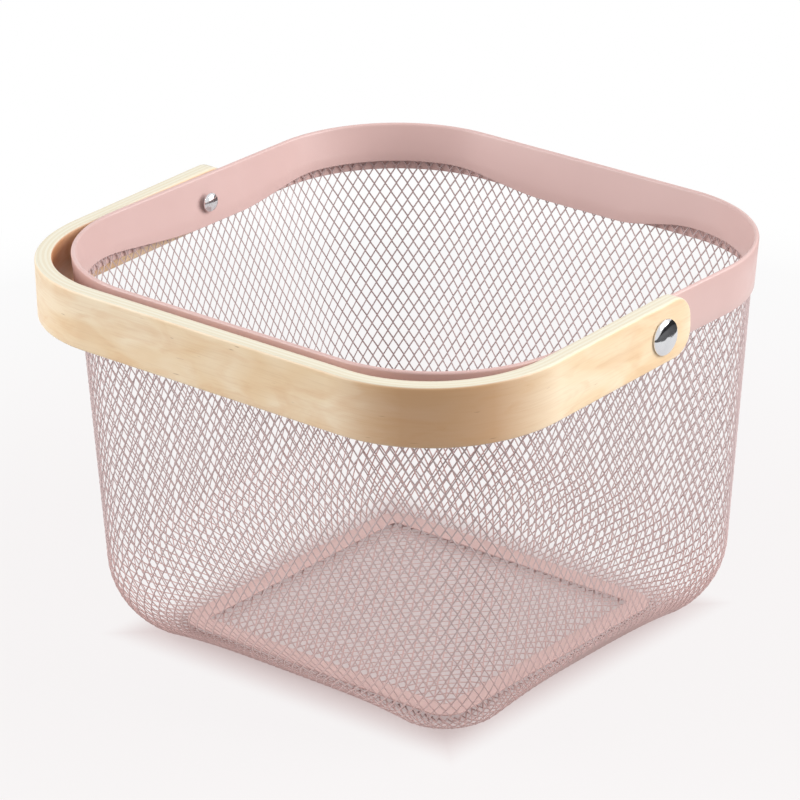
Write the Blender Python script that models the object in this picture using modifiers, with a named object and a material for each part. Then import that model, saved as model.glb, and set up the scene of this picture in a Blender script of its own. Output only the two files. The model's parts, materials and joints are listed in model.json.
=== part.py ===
"""Fruit colander: a square basket of expanded steel mesh with a folded steel rim.

A bent birch handle turns on two rivets at the middle of the rim's left and right sides.
It is drawn as it lies folded, its bar in front of the rim.
Metres, +Z up. X runs along the handle's pivot axis, and the bar lies towards -Y.
The origin is on the ground, under the middle of the whole outline with the handle folded.
"""
import math

import bmesh
import bpy
from mathutils import Vector

MM = 0.001

# Clearance between pieces that touch on the real basket
GAP = 0.3 * MM

# Rim: a steel strip folded over the mesh's top edge, open below
RIM_LENGTH = 245 * MM
RIM_DEPTH = 239 * MM
RIM_CORNER = 64 * MM
RIM_TOP = 177.3 * MM
RIM_SHEET = 0.8 * MM
RIM_OUTER_HEIGHT = 21.5 * MM
RIM_INNER_HEIGHT = 21.5 * MM
RIM_INNER_CORNER_HEIGHT = 16 * MM
RIM_FOLD_WIDTH = 2.7 * MM
RIM_SHOULDER_DROP = 6 * MM
RIM_SHOULDER_WIDTH = 5 * MM
RIM_FOOT_WIDTH = 6.3 * MM
RIM_STEPS = 72
FOLD_STEPS = 4

# Mesh: strands crossing in tall diamonds, drawn with fewer and stouter strands than the real sheet
STRAND = 2.2 * MM
MESH_IN_RIM = 6.5 * MM
MESH_TOP_INSET = 3.3 * MM
WALL_TAPER = 13.6 * MM
WALL_BULGE = 3 * MM
HEEL_HEIGHT = 37.6 * MM
HEEL_REACH = 32.7 * MM
HEEL_TOP_CORNER = 35.3 * MM
HEEL_FOOT_CORNER = 8.5 * MM
HEEL_SIDE_LIFT = 6.5 * MM
FLOOR_LIFT = 1.6 * MM
FLOOR_SEAM = 5 * MM
FOOT_FLAT = 0.5 * MM
WALL_COLUMNS = 28
WALL_ROWS = 8
FLOOR_COLUMNS = 5
FLOOR_ROWS = 3
STRAND_BEND = 0.5 * MM
NORMAL_STEP = 0.001

# Base ring: flat sheet that covers the seam between the wall's and the floor's mesh
RING_SHEET = 0.8 * MM
RING_WIDTH = 9.6 * MM
RING_COVER = 3 * MM
RING_CORNER = 11 * MM
RING_INNER_CORNER = 2 * MM
CORNER_STEPS = 6

# Handle: laminated birch strip, its middle line a little above the pivot axis
HANDLE_THICK = 7.3 * MM
HANDLE_WIDE = 26.3 * MM
HANDLE_LIFT = 0.8 * MM
HANDLE_BAR_GAP = 4.7 * MM
HANDLE_CORNER = 58 * MM
HANDLE_TAIL = 18.5 * MM
HANDLE_END_ROUND = 11 * MM
HANDLE_EDGE = 1.2 * MM
HANDLE_RIM_GAP = 0.4 * MM
HANDLE_SAG_DEG = 1.3
BEND_STEPS = 14
END_STEPS = 6

# Pivot rivets and the caps that close them inside the rim
PIVOT_DROP = 11.1 * MM
SHANK_RADIUS = 2.5 * MM
HEAD_RADIUS = 8 * MM
HEAD_HEIGHT = 3.4 * MM
HEAD_EDGE = 0.6 * MM
CAP_RADIUS = 4.3 * MM
CAP_HEIGHT = 2.4 * MM
CAP_EDGE = 0.4 * MM
CAP_SOCKET = 1.2 * MM
ROUND_STEPS = 32
DOME_STEPS = 7

# Edges that turn by more than this stay sharp
SHARP_ANGLE = math.radians(35)

# Worked out from the sizes above
RIM_X = RIM_LENGTH / 2
RIM_Y = RIM_DEPTH / 2
RIM_DIFFERENCE = RIM_X - RIM_Y
ARM_OUTER = RIM_X + HANDLE_RIM_GAP + HANDLE_THICK
HANDLE_REACH = RIM_Y + HANDLE_BAR_GAP + HANDLE_THICK
PIVOT_Z = RIM_TOP - PIVOT_DROP
HOLE_RADIUS = SHANK_RADIUS + GAP
STRAND_RADIUS = STRAND / 2
FOOT_Z = STRAND_RADIUS - FOOT_FLAT
FLOOR_Z = FOOT_Z + FLOOR_LIFT
WALL_TOP_Z = RIM_TOP - RIM_OUTER_HEIGHT + MESH_IN_RIM
WALL_TOP_X = RIM_X - MESH_TOP_INSET
WALL_TOP_CORNER = RIM_CORNER - MESH_TOP_INSET
HEEL_TOP_X = WALL_TOP_X - WALL_TAPER
HEEL_TOP_Z = FOOT_Z + HEEL_HEIGHT
HEEL_FOOT_X = HEEL_TOP_X - HEEL_REACH
FLOOR_EDGE_X = HEEL_FOOT_X - FLOOR_SEAM
RING_X = HEEL_FOOT_X + RING_COVER
RING_Z = FLOOR_Z + STRAND_RADIUS + GAP


def handle_front():
    """Distance from the pivot axis to the folded bar's front, with its sag and rounded edges."""
    sag = math.radians(HANDLE_SAG_DEG)
    reach = (HANDLE_REACH - HANDLE_EDGE) * math.cos(sag)
    return reach + (HANDLE_WIDE / 2 + HANDLE_LIFT - HANDLE_EDGE) * math.sin(sag) + HANDLE_EDGE


# The basket stands behind the origin, because the folded bar lies in front of it
BASKET_Y = (handle_front() - RIM_Y) / 2


def clear_scene():
    for item in list(bpy.data.objects):
        bpy.data.objects.remove(item, do_unlink=True)


def make_collection(name):
    collection = bpy.data.collections.new(name)
    bpy.context.scene.collection.children.link(collection)
    return collection


def make_material(name, colour, roughness, metallic):
    material = bpy.data.materials.new(name)
    material.use_nodes = True
    shader = material.node_tree.nodes["Principled BSDF"]
    shader.inputs["Base Color"].default_value = (*colour, 1.0)
    shader.inputs["Roughness"].default_value = roughness
    shader.inputs["Metallic"].default_value = metallic
    material.diffuse_color = (*colour, 1.0)
    return material


def add_object(name, mesh, material, location=(0, BASKET_Y, 0)):
    """Put a mesh that is modelled about the basket's middle into the part."""
    item = bpy.data.objects.new(name, mesh)
    item.location = location
    if material:
        mesh.materials.append(material)
    PARTS.objects.link(item)
    return item


def mesh_from_bmesh(name, work):
    bmesh.ops.recalc_face_normals(work, faces=work.faces)
    mesh = bpy.data.meshes.new(name)
    work.to_mesh(mesh)
    work.free()
    return mesh


def outline_point(turn, half_x, half_y, corner, bulge=0.0):
    """Point on a rounded rectangle whose sides may bulge, and how far it is from mid side.

    turn 0 is the middle of the +X side and a quarter turn on is the middle of the +Y side.
    The second value runs from 0 in the middle of a side to 1 where the corner starts.
    """
    quarter = math.floor(turn * 4)
    share = turn * 4 - quarter
    ahead, across = (half_x, half_y) if quarter % 2 == 0 else (half_y, half_x)
    first = across - corner
    bend = corner * math.pi / 2
    last = ahead - corner
    walked = share * (first + bend + last)
    if walked < first:
        sideways = walked / first
        x, y = ahead + bulge * (1 - sideways ** 2), walked
    elif walked <= first + bend:
        sideways = 1.0
        angle = (walked - first) / corner
        x = ahead - corner + corner * math.cos(angle)
        y = across - corner + corner * math.sin(angle)
    else:
        rest = first + bend + last - walked
        sideways = rest / last
        x, y = rest, across + bulge * (1 - sideways ** 2)
    for _ in range(quarter % 4):
        x, y = -y, x
    return x, y, sideways


def loft(name, rings, capped=False):
    """Skin closed rings of points, each joined to the next, with smooth shading between."""
    work = bmesh.new()
    rows = [[work.verts.new(point) for point in ring] for ring in rings]
    count = len(rows[0])
    for row, below in zip(rows[:-1], rows[1:]):
        for i in range(count):
            j = (i + 1) % count
            work.faces.new((row[i], row[j], below[j], below[i]))
    if capped:
        work.faces.new(rows[0])
        work.faces.new(rows[-1])
    mesh = mesh_from_bmesh(name, work)
    mesh.shade_smooth()
    mesh.set_sharp_from_angle(angle=SHARP_ANGLE)
    return mesh


def turned(name, profile, material, base_x, side):
    """Turn a profile of (radius, height) about the pivot axis, its height pointing side-wards."""
    mesh = bpy.data.meshes.new(name)
    points = [(radius, 0, height) for radius, height in profile]
    edges = [(i, i + 1) for i in range(len(points) - 1)]
    mesh.from_pydata(points, edges, [])
    item = add_object(name, mesh, material, (base_x, BASKET_Y, PIVOT_Z))
    item.rotation_euler = (0, side * math.pi / 2, 0)
    screw = item.modifiers.new("Turn", "SCREW")
    screw.axis = "Z"
    screw.steps = ROUND_STEPS
    screw.render_steps = ROUND_STEPS
    screw.use_merge_vertices = True
    screw.merge_threshold = 0.00001
    screw.use_smooth_shade = True
    return item


def dome(radius, height, edge):
    """Points of a domed head from its top down to the foot of its rim."""
    points = []
    for step in range(DOME_STEPS):
        angle = math.pi / 2 * step / (DOME_STEPS - 1)
        points.append((radius * math.sin(angle), edge + (height - edge) * math.cos(angle)))
    points.append((radius, 0.0))
    return points


def cut(item, cutter):
    boolean = item.modifiers.new("Cut", "BOOLEAN")
    boolean.operation = "DIFFERENCE"
    boolean.solver = "EXACT"
    boolean.object = cutter


def make_cutter(item):
    for collection in item.users_collection:
        collection.objects.unlink(item)
    CUTTERS.objects.link(item)
    item.display_type = "WIRE"
    item.hide_render = True
    return item


def pivot_drill():
    """Round bar along the pivot axis that bores the rim and the handle."""
    bpy.ops.mesh.primitive_cylinder_add(
        vertices=ROUND_STEPS, radius=HOLE_RADIUS, depth=ARM_OUTER * 3,
        location=(0, BASKET_Y, PIVOT_Z), rotation=(0, math.pi / 2, 0))
    drill = bpy.context.object
    drill.name = "pivot_drill"
    return make_cutter(drill)


def ground_cutter():
    """Block that ends at the ground and cuts the mesh's feet flat."""
    bpy.ops.mesh.primitive_cube_add(size=1, location=(0, BASKET_Y, -RIM_LENGTH / 4))
    block = bpy.context.object
    block.name = "ground"
    block.scale = (RIM_LENGTH, RIM_LENGTH, RIM_LENGTH / 2)
    return make_cutter(block)


def wall_point(turn, drop):
    """Point on the mesh wall; drop 0 is its edge inside the rim and 1 its edge under the ring.

    The wall slants in to the heel, which turns under as a quarter ellipse. The sides bulge a
    little and their heel hangs higher than the corners', which are the basket's four feet.
    """
    slope = WALL_TOP_Z - HEEL_TOP_Z
    bend = math.pi / 2 * math.sqrt((HEEL_HEIGHT ** 2 + HEEL_REACH ** 2) / 2)
    walked = drop * (slope + bend)
    if walked <= slope:
        share = walked / slope
        half = WALL_TOP_X - WALL_TAPER * share
        corner = WALL_TOP_CORNER + (HEEL_TOP_CORNER - WALL_TOP_CORNER) * share
        x, y, sideways = outline_point(turn, half, half - RIM_DIFFERENCE, corner, WALL_BULGE * share)
        return Vector((x, y, WALL_TOP_Z - walked))
    angle = (walked - slope) / bend * math.pi / 2
    turned_in = 1 - math.cos(angle)
    half = HEEL_TOP_X - HEEL_REACH * turned_in
    corner = HEEL_TOP_CORNER + (HEEL_FOOT_CORNER - HEEL_TOP_CORNER) * turned_in
    x, y, sideways = outline_point(turn, half, half - RIM_DIFFERENCE, corner, WALL_BULGE)
    z = FOOT_Z + HEEL_HEIGHT * (1 - math.sin(angle))
    z += HEEL_SIDE_LIFT * (1 - sideways ** 2) * math.sin(2 * angle) ** 2
    z += FLOOR_LIFT * (1 - sideways ** 4) * math.sin(angle) ** 4
    return Vector((x, y, z))


def floor_point(along, across):
    """Point on the flat mesh floor, both values running from 0 to 1; its sides bulge too."""
    right = 2 * along - 1
    back = 1 - 2 * across
    half_x = FLOOR_EDGE_X + WALL_BULGE * (1 - back ** 2)
    half_y = FLOOR_EDGE_X + WALL_BULGE * (1 - right ** 2) - RIM_DIFFERENCE
    return Vector((right * half_x, back * half_y, FLOOR_Z))


def surface_normal(place, along, down):
    """Unit normal of the surface that place gives, from two short steps on it."""
    across = place(along + NORMAL_STEP, down) - place(along - NORMAL_STEP, down)
    high = max(down - NORMAL_STEP, 0.0)
    low = min(down + NORMAL_STEP, 1.0)
    return across.cross(place(along, high) - place(along, low)).normalized()


def gap_loops(columns, rows, closed, spot):
    """Grid points round each gap of a net, counter-clockwise as seen from outside.

    Strands cross where column plus row is even, on a grid of half gaps. A strand whose middle
    would leave the surface by more than STRAND_BEND gets a point there.
    """
    wide = columns * 2
    loops = []
    for row in range(rows + 1):
        for column in range(wide if closed else wide + 1):
            if (column + row) % 2 == 0:
                continue
            ring = [(column - 1, row), (column, row + 1), (column + 1, row), (column, row - 1)]
            ring = [key for key in ring if 0 <= key[1] <= rows and (closed or 0 <= key[0] <= wide)]
            loop = []
            for key, following in zip(ring, ring[1:] + ring[:1]):
                loop.append(key)
                middle = ((key[0] + following[0]) / 2, (key[1] + following[1]) / 2)
                straight = (spot(key) + spot(following)) / 2
                if (spot(middle) - straight).length > STRAND_BEND:
                    loop.append(middle)
            if closed:
                loop = [(key[0] % wide, key[1]) for key in loop]
            loops.append(loop)
    return loops


def border_loops(loops):
    """The net's own edges, as loops that run against the gaps beside them."""
    steps = set()
    for loop in loops:
        steps.update(zip(loop, loop[1:] + loop[:1]))
    onward = {after: key for key, after in steps if (after, key) not in steps}
    borders = []
    while onward:
        border = [min(onward)]
        while border[-1] in onward:
            border.append(onward.pop(border[-1]))
        borders.append(border[:-1])
    return borders


def strand_side(before, point, after, normal):
    """From a strand's middle to its side, mitred between the two strands that meet there."""
    ways = []
    for way in (point - before, after - point):
        ways.append(normal.cross((way - normal * way.dot(normal)).normalized()))
    return (ways[0] + ways[1]) * STRAND_RADIUS / (1 + ways[0].dot(ways[1]))


def diamond_net(name, columns, rows, closed, place):
    """Net of square strands over the surface that place gives, with half gaps along its edges."""
    work = bmesh.new()

    def spot(key):
        return place(key[0] / (columns * 2), key[1] / rows)

    loops = gap_loops(columns, rows, closed, spot)
    normals = {}
    ridges = {}
    for loop in loops + border_loops(loops):
        for key in loop:
            if key not in ridges:
                normals[key] = surface_normal(place, key[0] / (columns * 2), key[1] / rows)
                raised = normals[key] * STRAND_RADIUS
                ridges[key] = (work.verts.new(spot(key) + raised), work.verts.new(spot(key) - raised))
        sides = []
        for before, key, after in zip(loop[-1:] + loop[:-1], loop, loop[1:] + loop[:1]):
            offset = strand_side(spot(before), spot(key), spot(after), normals[key])
            sides.append(work.verts.new(spot(key) + offset))
        for i, key in enumerate(loop):
            j = (i + 1) % len(loop)
            upper, lower = ridges[key]
            next_upper, next_lower = ridges[loop[j]]
            work.faces.new((upper, next_upper, sides[j], sides[i]))
            work.faces.new((next_lower, lower, sides[i], sides[j]))
    return mesh_from_bmesh(name, work)


def add_wall_mesh(material, ground):
    mesh = diamond_net("wall_mesh", WALL_COLUMNS, WALL_ROWS, True, wall_point)
    cut(add_object("wall_mesh", mesh, material), ground)


def add_floor_mesh(material):
    mesh = diamond_net("floor_mesh", FLOOR_COLUMNS, FLOOR_ROWS * 2, False, floor_point)
    add_object("floor_mesh", mesh, material)


def add_base_ring(material):
    """Flat square ring from two rounded outlines, its underside on the mesh."""
    curve = bpy.data.curves.new("base_ring", "CURVE")
    curve.dimensions = "2D"
    curve.fill_mode = "BOTH"
    curve.extrude = RING_SHEET / 2
    for half, corner in ((RING_X, RING_CORNER), (RING_X - RING_WIDTH, RING_INNER_CORNER)):
        spline = curve.splines.new("POLY")
        points = rounded_corners(half, half - RIM_DIFFERENCE, corner)
        spline.points.add(len(points) - 1)
        for point, (x, y) in zip(spline.points, points):
            point.co = (x, y, 0, 1)
        spline.use_cyclic_u = True
    add_object("base_ring", curve, material, (0, BASKET_Y, RING_Z + RING_SHEET / 2))


def rounded_corners(half_x, half_y, corner):
    """Outline of a rounded rectangle with its points only in the corners."""
    points = []
    for quarter, (sign_x, sign_y) in enumerate(((1, 1), (-1, 1), (-1, -1), (1, -1))):
        for step in range(CORNER_STEPS + 1):
            angle = math.pi / 2 * (quarter + step / CORNER_STEPS)
            points.append((sign_x * (half_x - corner) + corner * math.cos(angle),
                           sign_y * (half_y - corner) + corner * math.sin(angle)))
    return points


def rim_width(drop):
    """Thickness of the folded rim, from outer to inner face, at a drop below its shoulder."""
    share = (drop - RIM_SHOULDER_DROP) / (RIM_INNER_HEIGHT - RIM_SHOULDER_DROP)
    return RIM_SHOULDER_WIDTH + (RIM_FOOT_WIDTH - RIM_SHOULDER_WIDTH) * share


def rim_ring(inset, drop_at):
    """One line round the rim, at an inset from its outer face; drop_at gives its drop."""
    ring = []
    for step in range(RIM_STEPS):
        turn = step / RIM_STEPS
        x, y, _ = outline_point(turn, RIM_X - inset, RIM_Y - inset, RIM_CORNER - inset)
        cornering = math.sin(math.pi * (turn * 4 % 1)) ** 4
        ring.append((x, y, RIM_TOP - drop_at(cornering)))
    return ring


def add_rim(material, drill):
    """The folded strip: outer face, round fold, shoulder and inner face with its wavy edge."""
    fold = RIM_FOLD_WIDTH / 2
    rings = [rim_ring(0.0, lambda cornering: RIM_OUTER_HEIGHT)]
    for step in range(FOLD_STEPS + 1):
        angle = math.pi * step / FOLD_STEPS
        drop = fold * (1 - math.sin(angle))
        rings.append(rim_ring(fold * (1 - math.cos(angle)), lambda cornering, drop=drop: drop))
    rings.append(rim_ring(RIM_SHOULDER_WIDTH, lambda cornering: RIM_SHOULDER_DROP))
    shortening = RIM_INNER_HEIGHT - RIM_INNER_CORNER_HEIGHT
    rings.append(rim_ring(RIM_FOOT_WIDTH,
                          lambda cornering: RIM_INNER_HEIGHT - shortening * cornering))
    item = add_object("rim", loft("rim", rings), material)
    sheet = item.modifiers.new("Sheet", "SOLIDIFY")
    sheet.thickness = RIM_SHEET
    sheet.offset = -1
    sheet.use_even_offset = True
    cut(item, drill)


def handle_path():
    """Middle of the strip from the right tail round the bar to the left tail, with headings."""
    middle_x = ARM_OUTER - HANDLE_THICK / 2
    middle_y = HANDLE_REACH - HANDLE_THICK / 2
    radius = HANDLE_CORNER - HANDLE_THICK / 2
    stations = []
    for step in range(END_STEPS + 1):
        angle = math.pi / 2 * step / END_STEPS
        stations.append((middle_x, HANDLE_TAIL - HANDLE_END_ROUND * (1 - math.cos(angle)),
                         0.0, math.sin(angle)))
    for step in range(BEND_STEPS + 1):
        angle = math.pi / 2 * step / BEND_STEPS
        stations.append((middle_x - radius + radius * math.cos(angle),
                         -(middle_y - radius) - radius * math.sin(angle), angle, 1.0))
    mirrored = [(-x, y, math.pi - heading, rounding) for x, y, heading, rounding in stations]
    return stations + mirrored[::-1]


def strip_section(x, y, heading, rounding):
    """Rounded rectangle across the strip; rounding under 1 draws the tail's end in."""
    end_height = HANDLE_WIDE / 2 - HANDLE_END_ROUND
    half_tall = end_height + HANDLE_END_ROUND * rounding
    half_thick = HANDLE_THICK / 2
    diagonal = math.sqrt(0.5)
    points = []
    for sign_out, sign_up in ((1, 1), (-1, 1), (-1, -1), (1, -1)):
        shifts = [(0, 1), (diagonal, diagonal), (1, 0)]
        if sign_out * sign_up > 0:
            shifts.reverse()
        for out, up in shifts:
            outward = sign_out * (half_thick - HANDLE_EDGE * (1 - out))
            upward = HANDLE_LIFT + sign_up * (half_tall - HANDLE_EDGE * (1 - up))
            points.append((x + outward * math.cos(heading), y - outward * math.sin(heading), upward))
    return points


def add_handle(material, drill):
    """Strip modelled level about the pivot axis, then let down by its sag."""
    rings = [strip_section(*station) for station in handle_path()]
    mesh = loft("handle", rings, capped=True)
    item = add_object("handle", mesh, material, (0, BASKET_Y, PIVOT_Z))
    item.rotation_euler = (math.radians(HANDLE_SAG_DEG), 0, 0)
    cut(item, drill)


def add_pivot(side, label, material):
    """One rivet, whose shank runs through handle and rim, and the cap that closes it inside."""
    cap_top = RIM_X - rim_width(PIVOT_DROP + CAP_RADIUS) - GAP
    head_foot = ARM_OUTER + GAP
    shank = head_foot - cap_top + CAP_SOCKET - GAP
    profile = dome(HEAD_RADIUS, HEAD_HEIGHT, HEAD_EDGE)
    profile += [(SHANK_RADIUS, 0.0), (SHANK_RADIUS, -shank), (0.0, -shank)]
    turned("rivet_" + label, profile, material, side * head_foot, side)
    profile = dome(CAP_RADIUS, CAP_HEIGHT, CAP_EDGE)
    profile += [(HOLE_RADIUS, 0.0), (HOLE_RADIUS, CAP_SOCKET), (0.0, CAP_SOCKET)]
    turned("rivet_cap_" + label, profile, material, side * cap_top, -side)


clear_scene()
PARTS = make_collection("fruit_colander")
CUTTERS = make_collection("cutters")

pink_coat = make_material("pink_powder_coat", (0.67, 0.42, 0.39), 0.45, 0.0)
birch = make_material("birch", (0.78, 0.58, 0.34), 0.5, 0.0)
chrome = make_material("chrome_plate", (0.75, 0.75, 0.76), 0.12, 1.0)

drill = pivot_drill()
ground = ground_cutter()
add_wall_mesh(pink_coat, ground)
add_floor_mesh(pink_coat)
add_base_ring(pink_coat)
add_rim(pink_coat, drill)
add_handle(birch, drill)
add_pivot(1, "right", chrome)
add_pivot(-1, "left", chrome)
bpy.context.view_layer.update()
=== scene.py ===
"""Fruit colander: looks of the square mesh basket, its folded rim and its bent birch handle.

Metres, +Z up. X runs along the handle's pivot axis and the folded handle's bar lies towards -Y.
"""
import json
import math

import bmesh
import bpy
import numpy as np
from mathutils import Matrix, Vector


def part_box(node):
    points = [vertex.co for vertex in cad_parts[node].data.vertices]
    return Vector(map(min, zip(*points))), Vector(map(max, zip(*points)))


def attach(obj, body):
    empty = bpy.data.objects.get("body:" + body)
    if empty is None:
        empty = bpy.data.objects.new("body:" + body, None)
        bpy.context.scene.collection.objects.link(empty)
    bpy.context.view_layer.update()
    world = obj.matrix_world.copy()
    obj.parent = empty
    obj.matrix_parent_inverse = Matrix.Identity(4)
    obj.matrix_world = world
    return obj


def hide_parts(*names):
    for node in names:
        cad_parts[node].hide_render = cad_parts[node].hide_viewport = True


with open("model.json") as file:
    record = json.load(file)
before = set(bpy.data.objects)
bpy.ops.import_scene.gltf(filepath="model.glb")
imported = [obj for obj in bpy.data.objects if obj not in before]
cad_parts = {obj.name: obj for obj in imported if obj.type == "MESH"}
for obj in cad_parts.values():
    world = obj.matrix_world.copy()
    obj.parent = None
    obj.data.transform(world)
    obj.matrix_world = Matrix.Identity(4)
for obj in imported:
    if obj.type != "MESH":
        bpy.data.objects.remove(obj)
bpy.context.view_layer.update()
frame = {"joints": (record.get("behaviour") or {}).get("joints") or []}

# Wall sheet: expanded steel sheet, slit and stretched to raised diamonds, then deep drawn to a
# square basket with a round heel. Its top edge is clamped in the rim, its corners are the feet.
# It gets a pink powder coat like the rim's, greyed by painted shade and sheen, and turned pinker
# towards the heel by painted shade.

MM = 0.001
WALL_COLUMNS = 168
WALL_ROWS = 48
COLUMN_CROWDING = 0.047
BOND_HALF_WIDTH = 0.27 * MM
BOND_HALF_HEIGHT = 0.49 * MM
SHEET_THICKNESS = 0.40 * MM
STRAND_TILT = math.radians(44)
TANGENT_STEP = 0.0005
STRAND_EDGE_ANGLE = math.radians(30)
MERGE_DISTANCE = 0.0001 * MM

rim_low, rim_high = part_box("rim")
BASKET_Y = (rim_low.y + rim_high.y) / 2
RIM_X = (rim_high.x - rim_low.x) / 2
RIM_Y = (rim_high.y - rim_low.y) / 2
RIM_TOP = rim_high.z
RIM_CORNER = 64 * MM
RIM_HEIGHT = 21.5 * MM

MESH_IN_RIM = 13 * MM
WALL_TOP_Z = RIM_TOP - RIM_HEIGHT + MESH_IN_RIM
WALL_TOP_INSET = 2.2 * MM
WALL_TAPER = 13.6 * MM
WALL_BULGE = 3 * MM
HEEL_HEIGHT = 37.6 * MM
HEEL_REACH = 33.8 * MM
HEEL_TOP_CORNER = 35.3 * MM
HEEL_FOOT_CORNER = 8.5 * MM
HEEL_SIDE_LIFT = 6.5 * MM
FLOOR_LIFT = 1.6 * MM
FOOT_Z = 0.8 * MM

# How often the coat's noises repeat in a metre: clouds of about 36 mm, orange peel of 1.2 mm and
# changes of sheen of 6 mm. On the mesh it turns between two heights to a pinker tone, a painted
# shade of the heel. The values of a noise mostly lie in NOISE_RANGE.
COAT_CLOUDS = 28.0
COAT_PEEL = 820.0
COAT_SHEEN = 160.0
COAT_ROUGHNESS = (0.30, 0.40)
COAT_IOR = 1.5
HEEL_SHADE_HEIGHTS = (12 * MM, 60 * MM)
NOISE_RANGE = (0.3, 0.7)


def linear(code):
    """sRGB hex code to linear red, green, blue and alpha, by the sRGB transfer curve."""
    parts = [int(code[i:i + 2], 16) / 255 for i in (1, 3, 5)]
    return tuple(p / 12.92 if p <= 0.04045 else ((p + 0.055) / 1.055) ** 2.4 for p in parts) + (1.0,)


def add_node(tree, kind, inputs=None, **settings):
    """Add a shader node; inputs maps a socket's name or number to a value or to an output."""
    node = tree.nodes.new("ShaderNode" + kind)
    for name, value in settings.items():
        setattr(node, name, value)
    for socket, value in (inputs or {}).items():
        if isinstance(value, bpy.types.NodeSocket):
            tree.links.new(value, node.inputs[socket])
        else:
            node.inputs[socket].default_value = value
    return node


def clouds(tree, place, scale, detail=2.0, distortion=0.0):
    """Soft noise round a half that repeats scale times in a unit of place."""
    return add_node(tree, "TexNoise", {"Vector": place, "Scale": scale, "Detail": detail,
                                       "Distortion": distortion}).outputs["Fac"]


def mixed(tree, share, first, second):
    """Colour that runs from first to second as share does from 0 to 1. Each of them is an output or
    an sRGB hex code."""
    first, second = (linear(tone) if isinstance(tone, str) else tone for tone in (first, second))
    return add_node(tree, "Mix", {0: share, 6: first, 7: second}, data_type="RGBA").outputs[2]


def ranged(tree, value, low, high, start=0.0, end=1.0, curve="LINEAR"):
    """Number that runs from start to end as value does from low to high, and stays there beyond."""
    return add_node(tree, "MapRange", {0: value, 1: low, 2: high, 3: start, 4: end},
                    interpolation_type=curve).outputs[0]


def worked_out(tree, operation, *values):
    """One step of arithmetic on values, which are outputs or numbers."""
    return add_node(tree, "Math", dict(enumerate(values)), operation=operation).outputs[0]


def new_material(name):
    """Material with no nodes, and its tree."""
    material = bpy.data.materials.new(name)
    material.use_nodes = True
    material.node_tree.nodes.clear()
    return material, material.node_tree


def finish_material(tree, inputs):
    """Give a material its surface, a Principled shader with these inputs."""
    shader = add_node(tree, "BsdfPrincipled", inputs)
    add_node(tree, "OutputMaterial", {"Surface": shader.outputs[0]})


def powder_coat(name, deep, pale, heel_shade=None):
    """Polyester powder coat on steel, satin: an even skin with a fine orange peel, clouded a
    little between a deep and a pale tone.

    Grains that flowed together leave waves of about 1.2 mm, drawn a little coarser than real. Where
    a fourth tone is given, the coat turns to it towards the bottom between two heights, as painted
    shade.
    """
    material, tree = new_material(name)
    place = add_node(tree, "TexCoord").outputs["Object"]
    tone = mixed(tree, clouds(tree, place, COAT_CLOUDS, 3.0), deep, pale)
    # Painted shade: the coat turns to a pinker tone towards the bottom.
    if heel_shade:
        height = add_node(tree, "SeparateXYZ", {0: place}).outputs[2]
        tone = mixed(tree, ranged(tree, height, *HEEL_SHADE_HEIGHTS, curve="SMOOTHSTEP"), heel_shade, tone)
    peel = clouds(tree, place, COAT_PEEL)
    sheen = clouds(tree, place, COAT_SHEEN)
    bump = add_node(tree, "Bump", {"Strength": 0.25, "Distance": 0.02 * MM, "Height": peel})
    finish_material(tree, {"Base Color": tone, "Normal": bump.outputs[0], "IOR": COAT_IOR,
                           "Roughness": ranged(tree, sheen, *NOISE_RANGE, *COAT_ROUGHNESS)})
    return material


def outline(turn, half_x, half_y, corner, bulge):
    """Rounded rectangle walked once round while turn runs from 0 to 1, from the middle of +X.

    Each quarter is walked by its length, a straight, an arc of radius corner and a straight. The
    straights swell by bulge times one minus the squared share of the way from mid side, which is
    also returned, as 1 round the corners. COLUMN_CROWDING bends the share of each quarter by a
    square, so that points crowd a little towards the middles of the +X and -X sides.
    """
    quarter = np.floor(turn * 4)
    share = turn * 4 - quarter
    across_first = quarter % 2 == 0
    crowding = np.where(across_first, COLUMN_CROWDING, -COLUMN_CROWDING)
    share = share * (1 - crowding) + crowding * share ** 2
    ahead = np.where(across_first, half_x, half_y)
    across = np.where(across_first, half_y, half_x)
    first = across - corner
    bend = corner * np.pi / 2
    last = ahead - corner
    walked = share * (first + bend + last)
    rest = first + bend + last - walked
    angle = np.clip((walked - first) / corner, 0, np.pi / 2)
    side = np.where(walked < first, walked / first, np.where(rest < last, rest / last, 1.0))
    swell = bulge * (1 - side ** 2)
    x = np.where(walked < first, ahead + swell, ahead - corner + corner * np.cos(angle))
    y = np.where(walked < first, walked, across - corner + corner * np.sin(angle))
    x = np.where(rest < last, rest, x)
    y = np.where(rest < last, across + swell, y)
    cosine = np.array([1, 0, -1, 0])[(quarter % 4).astype(int)]
    sine = np.array([0, 1, 0, -1])[(quarter % 4).astype(int)]
    return x * cosine - y * sine, x * sine + y * cosine, side


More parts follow.
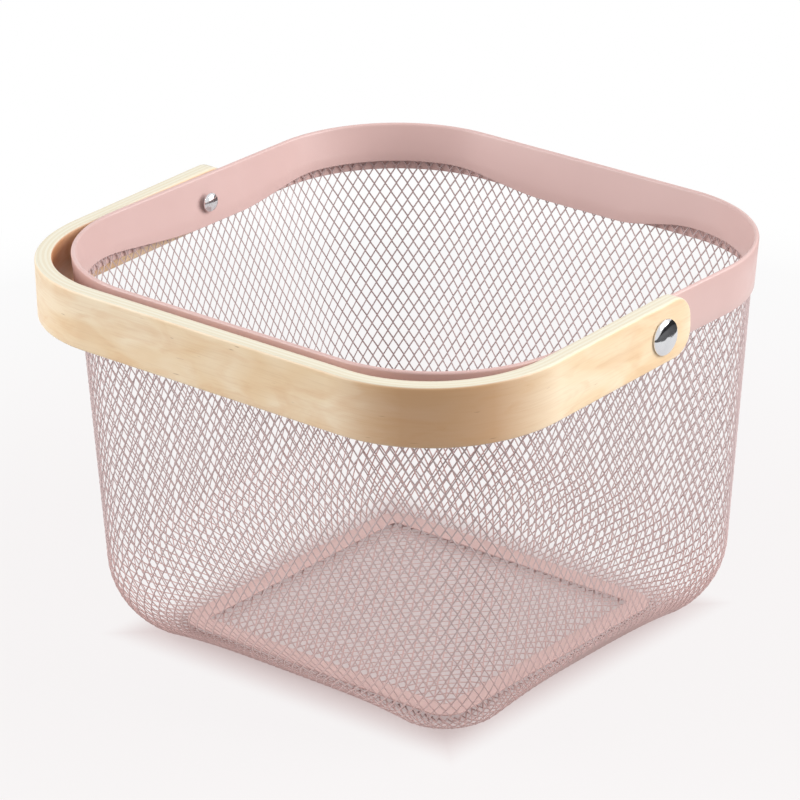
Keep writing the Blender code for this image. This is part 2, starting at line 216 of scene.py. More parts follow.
def wall_surface(turn, drop):
    """Middle of the drawn wall: a tapering rounded square, then a quarter ellipse turned under.

    drop runs from 0 at the edge in the rim to 1 under the base ring. The heel hangs higher in the
    middle of each side, by a squared sine of twice its angle, and its end is lifted there to the
    floor by the fourth power of the sine.
    """
    slope = WALL_TOP_Z - FOOT_Z - HEEL_HEIGHT
    bend = math.pi / 2 * math.sqrt((HEEL_HEIGHT ** 2 + HEEL_REACH ** 2) / 2)
    walked = drop * (slope + bend)
    share = np.clip(walked / slope, 0, 1)
    angle = np.clip((walked - slope) / bend, 0, 1) * np.pi / 2
    turned_in = 1 - np.cos(angle)
    top_corner = RIM_CORNER - WALL_TOP_INSET
    half = RIM_X - WALL_TOP_INSET - WALL_TAPER * share - HEEL_REACH * turned_in
    corner = top_corner + (HEEL_TOP_CORNER - top_corner) * share
    corner = corner + (HEEL_FOOT_CORNER - HEEL_TOP_CORNER) * turned_in
    x, y, side = outline(turn, half, half - (RIM_X - RIM_Y), corner, WALL_BULGE * share)
    z = WALL_TOP_Z - np.minimum(walked, slope) - HEEL_HEIGHT * np.sin(angle)
    z = z + HEEL_SIDE_LIFT * (1 - side ** 2) * np.sin(2 * angle) ** 2
    z = z + FLOOR_LIFT * (1 - side ** 4) * np.sin(angle) ** 4
    return np.stack([x, y + BASKET_Y, z], axis=-1)


def unit(vectors):
    """Vectors over their own lengths."""
    return vectors / np.linalg.norm(vectors, axis=-1, keepdims=True)


def expanded_sheet(surface, columns, rows, closed):
    """Raised expanded metal over a surface of two parameters from 0 to 1.

    Bonds lie on a lattice in which every other row is shifted by half a column. A bond is a thin
    rhombus, tilted about the sheet's upright by STRAND_TILT, and a strand joins its right half to
    the left half of the next bond, half a column on and one row up or down. Each corner of a
    rhombus is a pair of points, on the front and on the back of the sheet.
    """
    row, index = np.meshgrid(np.arange(rows + 1), np.arange(columns), indexing="ij")
    along = (index * 2 + row % 2) / (columns * 2 if closed else columns * 2 - 1)
    down = row / rows
    middle = surface(along, down)
    step = TANGENT_STEP
    right = unit(surface(along + step, down) - surface(along - step, down))
    upward = surface(along, np.maximum(down - step, 0)) - surface(along, np.minimum(down + step, 1))
    outward = unit(np.cross(right, upward))
    upward = np.cross(outward, right)
    ribbon = math.cos(STRAND_TILT) * right + math.sin(STRAND_TILT) * outward
    face = math.cos(STRAND_TILT) * outward - math.sin(STRAND_TILT) * right
    corners = [upward * BOND_HALF_HEIGHT, ribbon * BOND_HALF_WIDTH,
               -upward * BOND_HALF_HEIGHT, -ribbon * BOND_HALF_WIDTH]
    points = np.stack([middle + corner + side * face * SHEET_THICKNESS / 2
                       for corner in corners for side in (1, -1)], axis=2)
    number = np.arange(points.shape[0] * points.shape[1] * 8).reshape(*points.shape[:3])
    up, right_end, low, left_end = (number[:, :, 2 * i:2 * i + 2] for i in range(4))

    quads = [np.stack([up[..., 0], left_end[..., 0], low[..., 0], right_end[..., 0]], -1),
             np.stack([up[..., 1], right_end[..., 1], low[..., 1], left_end[..., 1]], -1)]
    ends = {"up_right": (up, right_end), "right_low": (right_end, low),
            "low_left": (low, left_end), "left_up": (left_end, up)}
    joined = {name: np.zeros(number.shape[:2], bool) for name in ends}
    shift = row % 2
    for rise, start, end in ((-1, "up_right", "low_left"), (1, "right_low", "left_up")):
        to_row = row + rise
        to_index = index + shift
        there = (to_row >= 0) & (to_row <= rows) & (closed | (to_index < columns))
        from_row, from_index = row[there], index[there]
        to_row, to_index = to_row[there], to_index[there] % columns
        a, b = (part[from_row, from_index] for part in ends[start])
        c, d = (part[to_row, to_index] for part in ends[end])
        quads.append(np.stack([a[:, 0], b[:, 0], c[:, 0], d[:, 0]], -1))
        quads.append(np.stack([a[:, 1], d[:, 1], c[:, 1], b[:, 1]], -1))
        quads.append(np.stack([a[:, 1], a[:, 0], d[:, 0], d[:, 1]], -1))
        quads.append(np.stack([b[:, 0], b[:, 1], c[:, 1], c[:, 0]], -1))
        joined[start][from_row, from_index] = True
        joined[end][to_row, to_index] = True
    for name, (first, second) in ends.items():
        bare = ~joined[name]
        a, b = first[bare], second[bare]
        quads.append(np.stack([a[:, 0], b[:, 0], b[:, 1], a[:, 1]], -1))
    return points.reshape(-1, 3), np.concatenate([quad.reshape(-1, 4) for quad in quads])


def enclosed(points, quads):
    """Volume inside the faces, a sixth of the triple product of the corners of each of their two
    triangles, summed. It is negative where they face in."""
    a, b, c, d = (points[quads[:, i]] for i in range(4))
    return np.sum(np.cross(a, b) * c + np.cross(a, c) * d) / 6


def make_piece(name, points, quads, material, sharp_angle, marks=None):
    """Mesh object with its place in its points, faces out, smooth up to sharp_angle.

    Points that coincide, at poles and seams, are merged. marks is a place of its own for each
    point, which the material reads as the attribute strip.
    """
    if enclosed(points, quads) < 0:
        quads = quads[:, ::-1]
    mesh = bpy.data.meshes.new(name)
    mesh.from_pydata(points.tolist(), [], quads.tolist())
    if marks is not None:
        strip = mesh.attributes.new("strip", "FLOAT_VECTOR", "POINT")
        strip.data.foreach_set("vector", marks.reshape(-1))
    work = bmesh.new()
    work.from_mesh(mesh)
    bmesh.ops.remove_doubles(work, verts=work.verts, dist=MERGE_DISTANCE)
    work.to_mesh(mesh)
    work.free()
    mesh.polygons.foreach_set("use_smooth", np.full(len(mesh.polygons), True))
    mesh.set_sharp_from_angle(angle=sharp_angle)
    mesh.materials.append(material)
    piece = bpy.data.objects.new(name, mesh)
    bpy.context.scene.collection.objects.link(piece)
    return piece


# On the strands the coat is drawn greyer than on the rim, a painted shade and sheen of the thin
# strands, and round the heel and the floor it turns pinker, a painted shade there.
shaded_strand_coat = powder_coat("pink_powder_coat_on_strands_with_painted_shade", "#BCA6A5", "#C6B0AF", "#C6A4A0")
points, quads = expanded_sheet(wall_surface, WALL_COLUMNS, WALL_ROWS, True)
wall_sheet = make_piece("wall_sheet", points, quads, shaded_strand_coat, STRAND_EDGE_ANGLE)
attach(wall_sheet, "basket")
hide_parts("wall_mesh")


# Floor sheet: the flat middle of the same drawn sheet, left as it was stretched. It is pressed up
# by a millimetre and a half inside the base ring, which hides where it runs on into the wall.

FLOOR_COLUMNS = 29
FLOOR_ROWS = 38
FLOOR_CORNER_X = 69.4 * MM
FLOOR_SWELL = 5.3 * MM
PANEL_RISE = 1.5 * MM
PANEL_EDGE = 0.88
PANEL_SLOPE = 0.08


def floor_surface(along, down):
    """Square with swelling sides, raised in the middle by a smooth step of its edge distance."""
    right = 2 * along - 1
    back = 1 - 2 * down
    x = right * (FLOOR_CORNER_X + FLOOR_SWELL * (1 - back ** 2))
    y = back * (FLOOR_CORNER_X - (RIM_X - RIM_Y) + FLOOR_SWELL * (1 - right ** 2))
    edge = np.maximum(np.abs(right), np.abs(back))
    step = np.clip((PANEL_EDGE - edge) / PANEL_SLOPE, 0, 1)
    z = FOOT_Z + FLOOR_LIFT + PANEL_RISE * step ** 2 * (3 - 2 * step)
    return np.stack([x, y + BASKET_Y, z], axis=-1)


points, quads = expanded_sheet(floor_surface, FLOOR_COLUMNS, FLOOR_ROWS, False)
floor_sheet = make_piece("floor_sheet", points, quads, shaded_strand_coat, STRAND_EDGE_ANGLE)
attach(floor_sheet, "basket")
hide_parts("floor_mesh")


# Base ring: a square frame punched from steel sheet, which stiffens the bottom. It lies on the
# mesh inside the basket, spot welded to it before coating, and its inner corners are sharp.

RING_TURNS = 240
RING_OUTER_CORNER = 11 * MM
RING_INNER_CORNER = 2 * MM
RING_WIDTH = 9.6 * MM
RING_EDGE = 0.3 * MM
RING_EDGE_POINTS = 4
RING_EDGE_ANGLE = math.radians(50)

ring_low, ring_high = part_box("base_ring")
RING_X = (ring_high.x - ring_low.x) / 2
RING_Y = (ring_high.y - ring_low.y) / 2


def grid_quads(rows, columns):
    """Faces of a grid of points that closes on itself both ways."""
    number = np.arange(rows * columns).reshape(rows, columns)
    below = np.roll(number, -1, axis=0)
    corners = [number, np.roll(number, -1, axis=1), np.roll(below, -1, axis=1), below]
    return np.stack(corners, -1).reshape(-1, 4)


def base_ring():
    """Punched frame: a flat band between two rounded squares, its four edges eased by arcs."""
    turn = np.arange(RING_TURNS) / RING_TURNS
    arc = np.linspace(0, math.pi / 2, RING_EDGE_POINTS)
    inset = [RING_EDGE * (1 - np.cos(arc)), RING_WIDTH - RING_EDGE * (1 - np.cos(arc[::-1]))]
    inset = np.concatenate(inset)
    rise = np.concatenate([np.sin(arc), np.sin(arc[::-1])])
    middle_z = (ring_low.z + ring_high.z) / 2
    height = (ring_high.z - ring_low.z) / 2
    loops = []
    for side in (1, -1):
        for shift, lift in list(zip(inset, rise))[::side]:
            share = shift / RING_WIDTH
            corner = RING_OUTER_CORNER + (RING_INNER_CORNER - RING_OUTER_CORNER) * share
            x, y, _ = outline(turn, RING_X - shift, RING_Y - shift, corner, 0.0)
            z = np.full_like(x, middle_z + side * (height - RING_EDGE + RING_EDGE * lift))
            loops.append(np.stack([x, y + BASKET_Y, z], -1))
    return np.stack(loops)


pink_coat = powder_coat("satin_pink_powder_coat", "#CCABA6", "#D4B4AF")
loops = base_ring()
ring = make_piece("stiffening_ring", loops.reshape(-1, 3), grid_quads(*loops.shape[:2]), pink_coat,
                  RING_EDGE_ANGLE)
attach(ring, "basket")
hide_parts("base_ring")


# Rim: one steel strip folded over the mesh's top edge and pressed on to it, open below. The outer
# skin leans in a little; the inner skin slopes more, and its lower edge is drawn up at the corners.
# It is coated like the ring.

RIM_TURNS = 360
RIM_SHEET = 0.8 * MM
FOLD_RADIUS = 1.1 * MM
OUTER_LEAN = 1.6 * MM
FOOT_INSET = 6.3 * MM
WAVE_RISE = (5.7 * MM, 4.8 * MM, 5.8 * MM, 5.7 * MM)
WAVE_START = (0.09, 0.10, 0.03, 0.09)
WAVE_END = (0.28, 0.36, 0.40, 0.28)
SKIN_SHARES = (0.35, 0.7, 1.0)
FOLD_POINTS = 9
EDGE_EASE = 0.25 * MM
SHARP_EDGE_ANGLE = math.radians(50)
RIM_EDGE_ANGLE = math.radians(60)


def rim_skin():
    """The strip's outer face as rows of points round the rim, from the outer skin's lower edge
    over a half circle and straight down the inner skin to its wavy edge, which rises at each
    corner by a smooth step of the share of a quarter turn from mid side. The press left the four
    corners, counted from +X +Y, a little unlike."""
    turn = np.arange(RIM_TURNS) / RIM_TURNS
    from_middle = 0.5 - np.abs(turn * 4 % 1 - 0.5)
    corner = (turn * 4).astype(int)
    start, end, rise = (np.array(values)[corner] for values in (WAVE_START, WAVE_END, WAVE_RISE))
    rising = np.clip((from_middle - start) / (end - start), 0, 1)
    foot = RIM_HEIGHT - rise * rising ** 2 * (3 - 2 * rising)
    rows = [(OUTER_LEAN * share, FOLD_RADIUS + (RIM_HEIGHT - FOLD_RADIUS) * share)
            for share in SKIN_SHARES[::-1]]
    for angle in np.linspace(0, math.pi, FOLD_POINTS):
        rows.append((FOLD_RADIUS * (1 - math.cos(angle)), FOLD_RADIUS * (1 - math.sin(angle))))
    slope = (FOOT_INSET - 2 * FOLD_RADIUS) / (RIM_HEIGHT - FOLD_RADIUS)
    for share in SKIN_SHARES:
        fall = (foot - FOLD_RADIUS) * share
        rows.append((2 * FOLD_RADIUS + slope * fall, FOLD_RADIUS + fall))
    loops = []
    for shift, fall in rows:
        x, y, _ = outline(turn, RIM_X - shift, RIM_Y - shift, RIM_CORNER - shift, 0.0)
        loops.append(np.stack([x, y + BASKET_Y, np.broadcast_to(RIM_TOP - fall, x.shape)], -1))
    return np.stack(loops)


loops = rim_skin()
quads = grid_quads(*loops.shape[:2])[:-RIM_TURNS]
rim = make_piece("folded_rim", loops.reshape(-1, 3), quads, pink_coat, RIM_EDGE_ANGLE)
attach(rim, "basket")
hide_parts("rim")
sheet = rim.modifiers.new("Sheet", "SOLIDIFY")
sheet.thickness = RIM_SHEET
sheet.offset = -1
sheet.use_even_offset = True
ease = rim.modifiers.new("Ease", "BEVEL")
ease.width = EDGE_EASE
ease.segments = 2
ease.limit_method = "ANGLE"
ease.angle_limit = SHARP_EDGE_ANGLE


# Handle: one strip of birch veneers, glued and bent hot in a form, its ends cut nearly round and
# its edges eased, under a clear satin lacquer. The faces show the long grain, and the edges the
# cream end and long grain of the plies.

STRIP_THICK = 7.3 * MM
STRIP_WIDE = 26.3 * MM
STRIP_LIFT = 0.8 * MM
BAR_GAP = 4.7 * MM
STRIP_RIM_GAP = 0.3 * MM
STRIP_CORNER = 61 * MM
STRIP_TAIL = 18.5 * MM
STRIP_END_ROUND = 11 * MM
STRIP_EASE = 1.2 * MM
STRIP_SAG = math.radians(1.3)
LEFT_ARM_DROP = 2.2 * MM
PLIES = 7
PLY = STRIP_THICK / PLIES
STATION = 1.6 * MM
END_ROUND_POINTS = 12
EASE_POINTS = 5
ACROSS_FACE = 7
STRIP_EDGE_ANGLE = math.radians(40)

pivot = Vector(frame["joints"][0]["pos_m"])
middle_x = RIM_X + STRIP_RIM_GAP + STRIP_THICK / 2
middle_y = RIM_Y + BAR_GAP + STRIP_THICK / 2
bend_radius = STRIP_CORNER - STRIP_THICK / 2
half_bar = middle_x - bend_radius
bend_length = bend_radius * math.pi / 2
half_strip = half_bar + bend_length + middle_y - bend_radius + STRIP_TAIL

# Where along the strip the painted shade round the right bend, and inside the left, lies: its middle,
# how far it reaches and how far it is full. The skins are the depths over which a face passes into the
# edge's plies, and the inner face takes two shares of its painted shade, outside the left bend and in
# it.
RIGHT_BEND_SHADE_PLACE = half_bar + 0.48 * bend_length
RIGHT_BEND_SHADE_HALF = 0.55 * bend_length
RIGHT_BEND_SHADE_FULL = RIGHT_BEND_SHADE_HALF * 0.35
LEFT_BEND_PLACE = -half_bar - 0.38 * bend_length
LEFT_BEND_HALF = 0.85 * bend_length
LEFT_BEND_FULL = LEFT_BEND_HALF * 0.25
FACE_SKIN = (0.15 * MM, 0.6 * MM)
INNER_SKIN = (0.2 * MM, 0.6 * MM)
INNER_SHADE_SHARES = (0.15, 0.85)
LACQUER_ROUGHNESS = (0.34, 0.46)
LACQUER_IOR = 1.5

# Figures of the veneer: how often each repeats in a metre along the strip, up it and through it, and
# its detail and distortion. Clouds are 45 by 22 mm, patches 25 by 9 mm, bands 110 by 4 mm, hairlines
# 17 by 0.7 mm, drawn coarser than real, and flecks 11 by 1 mm.
VENEER_FIGURES = {
    "cloud": ((22.0, 46.0, 60.0), 2.0, 0.8),
    "patch": ((40.0, 110.0, 90.0), 3.0, 1.2),
    "band": ((9.0, 260.0, 220.0), 4.0, 0.3),
    "hair": ((60.0, 1500.0, 1200.0), 3.0, 0.0),
    "fleck": ((95.0, 900.0, 300.0), 1.0, 0.0),
}


def bend_strip(along, height, depth):
    """Place in the basket of a point of the flat strip: a straight bar, two quarter arcs and two
    straight arms, level and a little above the pivot axis, and then let down by the sag. The strip
    came out of its form a little twisted: the left arm hangs lower by LEFT_ARM_DROP, a drop that
    grows round the left bend by a smooth step."""
    far = np.abs(along)
    angle = np.clip((far - half_bar) / bend_radius, 0, np.pi / 2)
    arm = np.maximum(far - half_bar - bend_length, 0)
    x = np.minimum(far, half_bar) + bend_radius * np.sin(angle) + depth * np.sin(angle)
    y = -middle_y + bend_radius * (1 - np.cos(angle)) + arm - depth * np.cos(angle)
    x = x * np.where(along < 0, -1, 1)
    round_left = np.clip((-along - half_bar) / bend_length, 0, 1)
    raised = height + STRIP_LIFT - LEFT_ARM_DROP * round_left ** 2 * (3 - 2 * round_left)
    level = y * math.cos(STRIP_SAG) - raised * math.sin(STRIP_SAG)
    lift = y * math.sin(STRIP_SAG) + raised * math.cos(STRIP_SAG)
    return np.stack([x, level + pivot.y, lift + pivot.z], -1)


def strip_outline():
    """The flat strip's outline as points along and up, and the spine point that each faces.

    Long sides, round corners of STRIP_END_ROUND and short ends; the spine is the middle line up
    to the corners' centres.
    """
    reach = half_strip - STRIP_END_ROUND
    flat = STRIP_WIDE / 2 - STRIP_END_ROUND
    side = np.linspace(-reach, reach, int(2 * reach / STATION))
    arc = np.linspace(0, math.pi / 2, END_ROUND_POINTS)[1:]
    round_x, round_y = STRIP_END_ROUND * np.sin(arc), STRIP_END_ROUND * np.cos(arc)
    along = np.concatenate([side, reach + round_x, reach + round_x[::-1]])
    up = np.concatenate([np.full_like(side, STRIP_WIDE / 2), flat + round_y, -flat - round_y[::-1]])
    along = np.concatenate([along, -along])
    up = np.concatenate([up, -up])
    spine = np.clip(along, -reach, reach)
    return along, up, spine


def handle_strip():
    """Rows of points from the outer face's spine to its edge, round the eased edge and back to
    the inner face's spine, one row for each share of that way."""
    along, up, spine = strip_outline()
    length = np.hypot(along - spine, up)
    shares = np.linspace(0, 1, ACROSS_FACE)
    arc = np.linspace(0, math.pi / 2, EASE_POINTS)[1:]
    flat_rows = [(share, 0.0, STRIP_THICK / 2) for share in shares]
    eased = [(1.0, STRIP_EASE * math.sin(angle), STRIP_THICK / 2 - STRIP_EASE * (1 - math.cos(angle)))
             for angle in arc]
    edge = [(1.0, STRIP_EASE, STRIP_THICK / 2 - STRIP_EASE - PLY * step) for step in (1, 2)]
    half = flat_rows + eased + edge
    rows = half + [(share, grown, -depth) for share, grown, depth in half[::-1]]
    loops, marks = [], []
    for share, grown, depth in rows:
        way = share * (length - STRIP_EASE) + grown
        row_along = spine + (along - spine) / length * way
        row_up = up / length * way
        loops.append(bend_strip(row_along, row_up, depth))
        marks.append(np.stack([row_along, row_up, np.full_like(row_up, depth)], -1))
    return np.stack(loops), np.stack(marks)


def lay_over(tree, tone, layers):
    """Lay colours over a tone in turn. A layer is a value, the values at which it starts to show and
    shows in full, the share of it that shows then, and its colour."""
    for value, start, full, most, colour in layers:
        tone = mixed(tree, ranged(tree, value, start, full, 0.0, most), tone, colour)
    return tone


def birch():
    """Rotary cut birch veneer under satin lacquer: pale straw with a soft cloudy figure, hairlines
    along the strip, a few short brown flecks, and plies of about 1 mm that show as thin glue lines on
    the edges. Painted shade darkens and warms the right bend, the corner that gets little of the side
    lights, and the inner face, most inside the left bend. It reads the strip's own measures, along, up
    and through."""
    material, tree = new_material("lacquered_birch_plywood")
    strip = add_node(tree, "Attribute", attribute_name="strip").outputs["Vector"]
    along, _, through = add_node(tree, "SeparateXYZ", {0: strip}).outputs
    figure = {}
    for name, (scale, detail, distortion) in VENEER_FIGURES.items():
        place = add_node(tree, "Mapping", {"Vector": strip, "Scale": scale}).outputs[0]
        figure[name] = clouds(tree, place, 1.0, detail, distortion)
    from_right_bend_shade, from_left_bend = (
        worked_out(tree, "ABSOLUTE", worked_out(tree, "SUBTRACT", along, middle))
        for middle in (RIGHT_BEND_SHADE_PLACE, LEFT_BEND_PLACE))

    face = mixed(tree, ranged(tree, figure["cloud"], 0.36, 0.64), "#EACDA6", "#F3E0C3")
    face = lay_over(tree, face, (
        (figure["patch"], 0.48, 0.70, 0.40, "#DDB184"),
        (figure["band"], 0.50, 0.75, 0.16, "#D2A476"),
        (figure["hair"], 0.50, 0.80, 0.20, "#C49A6C"),
        # Painted shade: warmer and darker round the right bend.
        (from_right_bend_shade, RIGHT_BEND_SHADE_HALF, RIGHT_BEND_SHADE_FULL, 0.75, "#C28E5E"),
        (figure["fleck"], 0.75, 0.80, 0.60, "#8C5F3A")))
    # Painted shade on the inner face: an orange tone, faint along the strip and strongest inside the
    # left bend.
    inside = ranged(tree, through, INNER_SKIN[1] - STRIP_THICK / 2, INNER_SKIN[0] - STRIP_THICK / 2)
    inner_shade = ranged(tree, from_left_bend, LEFT_BEND_HALF, LEFT_BEND_FULL, *INNER_SHADE_SHARES)
    face = mixed(tree, worked_out(tree, "MULTIPLY", inside, inner_shade), face, "#B87240")

    layer = worked_out(tree, "DIVIDE", worked_out(tree, "ADD", through, STRIP_THICK / 2), PLY)
    crossed = worked_out(tree, "MODULO", worked_out(tree, "FLOOR", layer), 2.0)
    centred = worked_out(tree, "SUBTRACT", worked_out(tree, "FRACT", layer), 0.5)
    edge = lay_over(tree, mixed(tree, crossed, "#E0DBC9", "#DAD1BA"), (
        (figure["hair"], 0.40, 0.75, 0.20, "#DDCDAE"),
        (worked_out(tree, "ABSOLUTE", centred), 0.40, 0.48, 0.12, "#C4AE88")))

    depth = worked_out(tree, "ABSOLUTE", through)
    edged = ranged(tree, depth, STRIP_THICK / 2 - FACE_SKIN[0], STRIP_THICK / 2 - FACE_SKIN[1])
    bump = add_node(tree, "Bump", {"Strength": 0.2, "Distance": 0.04 * MM, "Height": figure["hair"]})
    finish_material(tree, {"Base Color": mixed(tree, edged, face, edge), "Normal": bump.outputs[0],
                           "Roughness": ranged(tree, figure["hair"], *NOISE_RANGE, *LACQUER_ROUGHNESS),
                           "IOR": LACQUER_IOR})
    return material


loops, marks = handle_strip()
quads = grid_quads(*loops.shape[:2])[:-loops.shape[1]]
handle = make_piece("bent_handle", loops.reshape(-1, 3), quads, birch(), STRIP_EDGE_ANGLE, marks)
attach(handle, "handle")
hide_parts("handle")


# Pivots: on each side a steel rivet with a domed head outside, whose shank goes through the
# handle and the rim into a small domed cap inside. Both are stamped, chrome plated and polished.

LATHE_TURNS = 64
HEAD_RADIUS = 7.8 * MM
HEAD_HEIGHT = 2.6 * MM
HEAD_EDGE = 0.5 * MM
HEAD_GAP = 0.15 * MM
CAP_RADIUS = 4.3 * MM
CAP_HEIGHT = 2.4 * MM
CAP_EDGE = 0.4 * MM
SHANK_RADIUS = 2.5 * MM
EDGE_BREAK = 0.2 * MM
DOME_POINTS = 14
DOME_EDGE_ANGLE = math.radians(40)

# How often the chrome's noises repeat in a metre: soft waves of about 5 mm, and wiping marks of
# 0.7 mm, drawn coarser than real.
CHROME_WAVES = 190.0
CHROME_WIPING = 1400.0
WIPING_RANGE = (0.35, 0.75)
CHROME_ROUGHNESS = (0.05, 0.14)


def chrome():
    """Chrome plate on a stamped and tumbled steel head: a mirror with soft waves from stamping and
    faint wiping marks."""
    material, tree = new_material("polished_chrome_plate")
    place = add_node(tree, "TexCoord").outputs["Object"]
    wave = clouds(tree, place, CHROME_WAVES, 1.0)
    wiping = clouds(tree, place, CHROME_WIPING, 3.0)
    bump = add_node(tree, "Bump", {"Strength": 0.35, "Distance": 0.5 * MM, "Height": wave})
    finish_material(tree, {"Base Color": mixed(tree, wave, "#D6D7DA", "#E6E6E8"),
                           "Roughness": ranged(tree, wiping, *WIPING_RANGE, *CHROME_ROUGHNESS),
                           "Normal": bump.outputs[0], "Metallic": 1.0})
    return material


def dome_profile(radius, height, edge, shank_radius, shank_length):
    """Radius and height above the foot of a quarter ellipse on a short upright edge with its foot
    corner broken, then the foot face, and a shank below it."""
    turn = np.linspace(0, math.pi / 2, DOME_POINTS)
    reach = [*(radius * np.sin(turn)), radius, radius - EDGE_BREAK, shank_radius, shank_radius, 0.0]
    rise = [*(edge + (height - edge) * np.cos(turn)), EDGE_BREAK, 0.0, 0.0, -shank_length,
            -shank_length]
    return np.array(reach), np.array(rise)


def turn_profile(reach, rise, foot_x, way):
    """Profile turned about the pivot axis; its height runs from foot_x along way, which is 1 or -1."""
    turn = np.arange(LATHE_TURNS) / LATHE_TURNS * 2 * np.pi
    x = np.broadcast_to((foot_x + way * rise)[:, None], (len(rise), LATHE_TURNS))
    y = pivot.y + reach[:, None] * np.cos(turn)
    z = pivot.z + reach[:, None] * np.sin(turn)
    return np.stack([x, y, z], -1)


chrome_plate = chrome()
for side_name, side in (("right", 1), ("left", -1)):
    cap_low, cap_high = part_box("rivet_cap_" + side_name)
    head_foot = side * (middle_x + STRIP_THICK / 2 + HEAD_GAP)
    cap_foot = side * min(abs(cap_low.x), abs(cap_high.x)) + side * CAP_HEIGHT
    shank_length = abs(head_foot - cap_foot)
    for name, foot, way, sizes in (
            ("rivet", head_foot, side,
             (HEAD_RADIUS, HEAD_HEIGHT, HEAD_EDGE, SHANK_RADIUS, shank_length)),
            ("rivet_cap", cap_foot, -side,
             (CAP_RADIUS, CAP_HEIGHT, CAP_EDGE, SHANK_RADIUS, 0.0))):
        loops = turn_profile(*dome_profile(*sizes), foot, way)
        quads = grid_quads(*loops.shape[:2])[:-LATHE_TURNS]
        piece = make_piece(f"chrome_{name}_{side_name}", loops.reshape(-1, 3), quads, chrome_plate,
                           DOME_EDGE_ANGLE)
        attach(piece, "basket")
        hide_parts(f"{name}_{side_name}")


# Camera, table and light: a small round white table in a white room with a dark floor and a dark
# board behind, which the camera doesn't see and the chrome shows as its dark band. Two large soft
# lights stand at the sides, so what faces the camera is darker than the sides.

TARGET = Vector((0.0, BASKET_Y, 0.0887))
AZIMUTH = math.radians(39.74)
ELEVATION = math.radians(23.78)
ROLL = math.radians(-0.52)
DISTANCE = 1.9389
LENS = 204.0
SENSOR = 36.0
IMAGE_SIZE = 800
SHIFT_PIXELS = (-17.6, 31.7)

STAGE_TURNS = 96
STAGE_ANGLES = np.arange(STAGE_TURNS) / STAGE_TURNS * 2 * np.pi

# The painted pinkish shade that the basket's mesh would bounce on to the table fades between the two
# distances of TABLE_SHADE from its middle, and TABLE_PLAIN is the share of plain white under it and
# beside it. The clouds' numbers say how often they repeat in a metre.
TABLE_RADIUS = 0.52
TABLE_HOLE = 0.0001
TABLE_FADE = 0.34
TABLE_SHADE = (0.074, 0.100)
TABLE_PLAIN = (0.50, 0.88)
TABLE_CLOUDS = 3.0
FELT_CLOUDS = 9.0
FLOOR_RADIUS = 1.4
FLOOR_INNER_Z = -0.02
FLOOR_OUTER_Z = -0.03
BOARD_HEIGHT = 0.5
BOARD_LEAN = 0.05
BOARD_TURN = math.radians(75)
ROOM_LOW = 0.2
ROOM_HIGH = 0.75
LIGHT_SIZE = 1.2
RIGHT_LIGHT = (1.28, 0.74, 0.88)
RIGHT_POWER = 31.0
LEFT_LIGHT = (-1.09, -1.09, 0.75)
LEFT_POWER = 22.0


def place_camera():
    """Camera looks down at the object from the front right; the roll turns its upright a little."""
    camera = bpy.data.objects.new("camera", bpy.data.cameras.new("camera"))
    bpy.context.scene.collection.objects.link(camera)
    back = Vector((math.sin(AZIMUTH) * math.cos(ELEVATION), -math.cos(AZIMUTH) * math.cos(ELEVATION),
                   math.sin(ELEVATION)))
    level = Vector((math.cos(AZIMUTH), math.sin(AZIMUTH), 0.0))
    upright = back.cross(level)
    right = math.cos(ROLL) * level + math.sin(ROLL) * upright
    up = back.cross(right)
    place = Matrix((right, up, back)).transposed().to_4x4()
    place.translation = TARGET + back * DISTANCE
    camera.matrix_world = place
    camera.data.lens = LENS
    camera.data.sensor_width = SENSOR
    camera.data.shift_x = SHIFT_PIXELS[0] / IMAGE_SIZE
    camera.data.shift_y = SHIFT_PIXELS[1] / IMAGE_SIZE
    bpy.context.scene.camera = camera


def white_table():
    """Matt white laminate, faintly clouded. The camera and reflections see it half as it is lit under
    the basket, with a painted pinkish shade there, near white beside it with a faint painted pink
    tint, and plain white at its edge."""
    material, tree = new_material("matt_white_laminate")
    place = add_node(tree, "TexCoord").outputs["Object"]
    tone = mixed(tree, clouds(tree, place, TABLE_CLOUDS), "#C6C6C6", "#CECECE")
    matt = add_node(tree, "BsdfDiffuse", {"Color": tone})
    far = add_node(tree, "VectorMath", {0: place}, operation="LENGTH").outputs["Value"]
    fade = ranged(tree, far, TABLE_RADIUS - TABLE_FADE, TABLE_RADIUS, curve="SMOOTHSTEP")
    centred = add_node(tree, "VectorMath", {0: place, 1: (0.0, -BASKET_Y, 0.0)}, operation="ADD")
    beside = add_node(tree, "VectorMath", {0: centred.outputs[0]}, operation="ABSOLUTE")
    beside_x, beside_y, _ = add_node(tree, "SeparateXYZ", {0: beside.outputs[0]}).outputs
    square = worked_out(tree, "MAXIMUM", beside_x, beside_y)
    clear = ranged(tree, square, *TABLE_SHADE, curve="SMOOTHSTEP")
    # Painted pinkish shade under the basket and a faint painted pink tint beside it, in the glow's
    # colour.
    white = mixed(tree, fade, mixed(tree, clear, "#E8D2D1", "#FBF8F8"), "#FFFFFF")
    glow = add_node(tree, "Emission", {"Color": white, "Strength": 1.0})
    plain = worked_out(tree, "MAXIMUM", ranged(tree, clear, 0.0, 1.0, *TABLE_PLAIN), fade)
    share = worked_out(tree, "MULTIPLY", seen_directly(tree), plain)
    mix = add_node(tree, "MixShader", {0: share, 1: matt.outputs[0], 2: glow.outputs[0]})
    add_node(tree, "OutputMaterial", {"Surface": mix.outputs[0]})
    return material


def black_felt():
    """Matt black felt with its fibres clouded a little lighter and darker."""
    material, tree = new_material("black_felt")
    place = add_node(tree, "TexCoord").outputs["Object"]
    tone = mixed(tree, clouds(tree, place, FELT_CLOUDS, 4.0), "#0C0C0D", "#3A3A3C")
    finish_material(tree, {"Base Color": tone, "Roughness": 0.9})
    return material


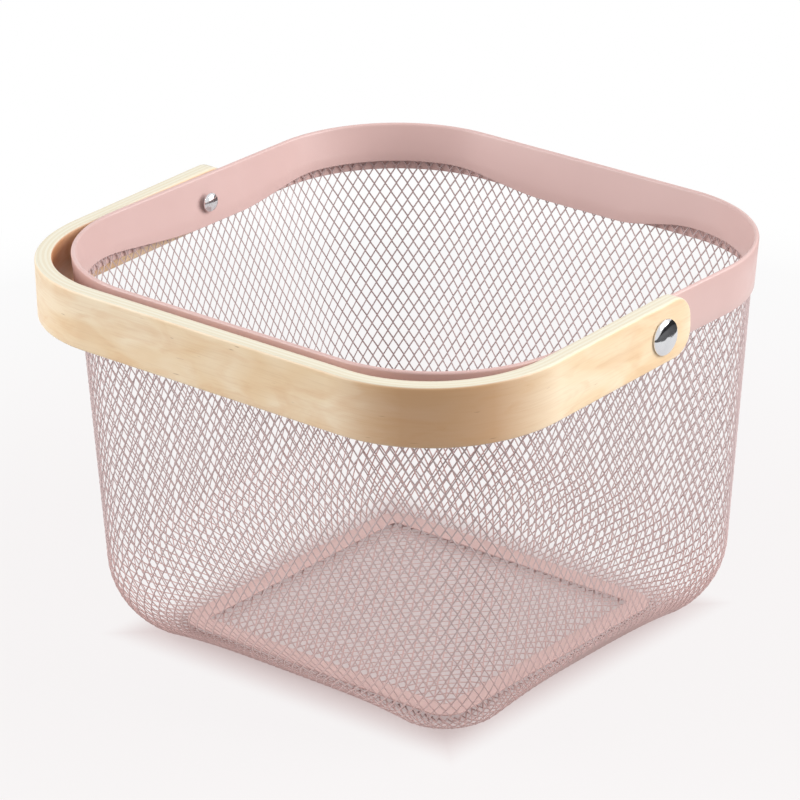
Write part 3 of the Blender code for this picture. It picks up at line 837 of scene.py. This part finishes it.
def seen_directly(tree):
    """1 for rays from the camera, off gloss and through clear things, else 0."""
    path = add_node(tree, "LightPath").outputs
    either = worked_out(tree, "MAXIMUM", path["Is Camera Ray"], path["Is Glossy Ray"])
    return worked_out(tree, "MAXIMUM", either, path["Is Transmission Ray"])


def light_room():
    """World that the camera and reflections see as white. It lights the object like a dim room
    with a pale ceiling, by a strength that rises with the height of the direction."""
    world = bpy.data.worlds.new("white_room")
    bpy.context.scene.world = world
    world.use_nodes = True
    tree = world.node_tree
    tree.nodes.clear()
    way = add_node(tree, "SeparateXYZ", {0: add_node(tree, "TexCoord").outputs["Generated"]})
    room = ranged(tree, way.outputs[2], 0.0, 1.0, ROOM_LOW, ROOM_HIGH)
    strength = ranged(tree, seen_directly(tree), 0.0, 1.0, room, 1.0)
    glow = add_node(tree, "Background", {"Color": linear("#FFFFFF"), "Strength": strength})
    add_node(tree, "OutputWorld", {"Surface": glow.outputs[0]})


def soft_light(name, place, size, power):
    """Square area light at a place, turned to face the object."""
    lamp = bpy.data.lights.new(name, "AREA")
    lamp.size = size
    lamp.energy = power
    light = bpy.data.objects.new(name, lamp)
    bpy.context.scene.collection.objects.link(light)
    light.location = place
    light.rotation_euler = (TARGET - Vector(place)).to_track_quat("-Z", "Y").to_euler()


def ring_band(name, inner, outer, low, high, material):
    """Ring of quads between an inner circle at low and an outer one at high, which may be an array
    of heights round it."""
    circle = np.stack([np.cos(STAGE_ANGLES), np.sin(STAGE_ANGLES)], -1)
    points = [np.column_stack([circle * radius, np.broadcast_to(z, STAGE_TURNS)])
              for radius, z in ((inner, low), (outer, high))]
    number = np.arange(STAGE_TURNS)
    following = np.roll(number, -1)
    quads = np.stack([number, number + STAGE_TURNS, following + STAGE_TURNS, following], -1)
    mesh = bpy.data.meshes.new(name)
    mesh.from_pydata(np.concatenate(points).tolist(), [], quads.tolist())
    mesh.materials.append(material)
    piece = bpy.data.objects.new(name, mesh)
    bpy.context.scene.collection.objects.link(piece)
    return piece


place_camera()
light_room()
felt = black_felt()
ring_band("table", TABLE_HOLE, TABLE_RADIUS, 0.0, 0.0, white_table())
dark_floor = ring_band("dark_floor", TABLE_RADIUS, FLOOR_RADIUS, FLOOR_INNER_Z, FLOOR_OUTER_Z, felt)
dark_floor.visible_camera = False
board_top = BOARD_HEIGHT * np.clip(np.cos(STAGE_ANGLES - BOARD_TURN), 0, 1) ** 2 + FLOOR_OUTER_Z
dark_board = ring_band("dark_board", FLOOR_RADIUS, FLOOR_RADIUS + BOARD_LEAN, FLOOR_OUTER_Z, board_top,
                       felt)
dark_board.visible_camera = False
soft_light("right_light", RIGHT_LIGHT, LIGHT_SIZE, RIGHT_POWER)
soft_light("left_light", LEFT_LIGHT, LIGHT_SIZE, LEFT_POWER)
bpy.context.scene.view_settings.view_transform = "Standard"

bpy.context.view_layer.update()
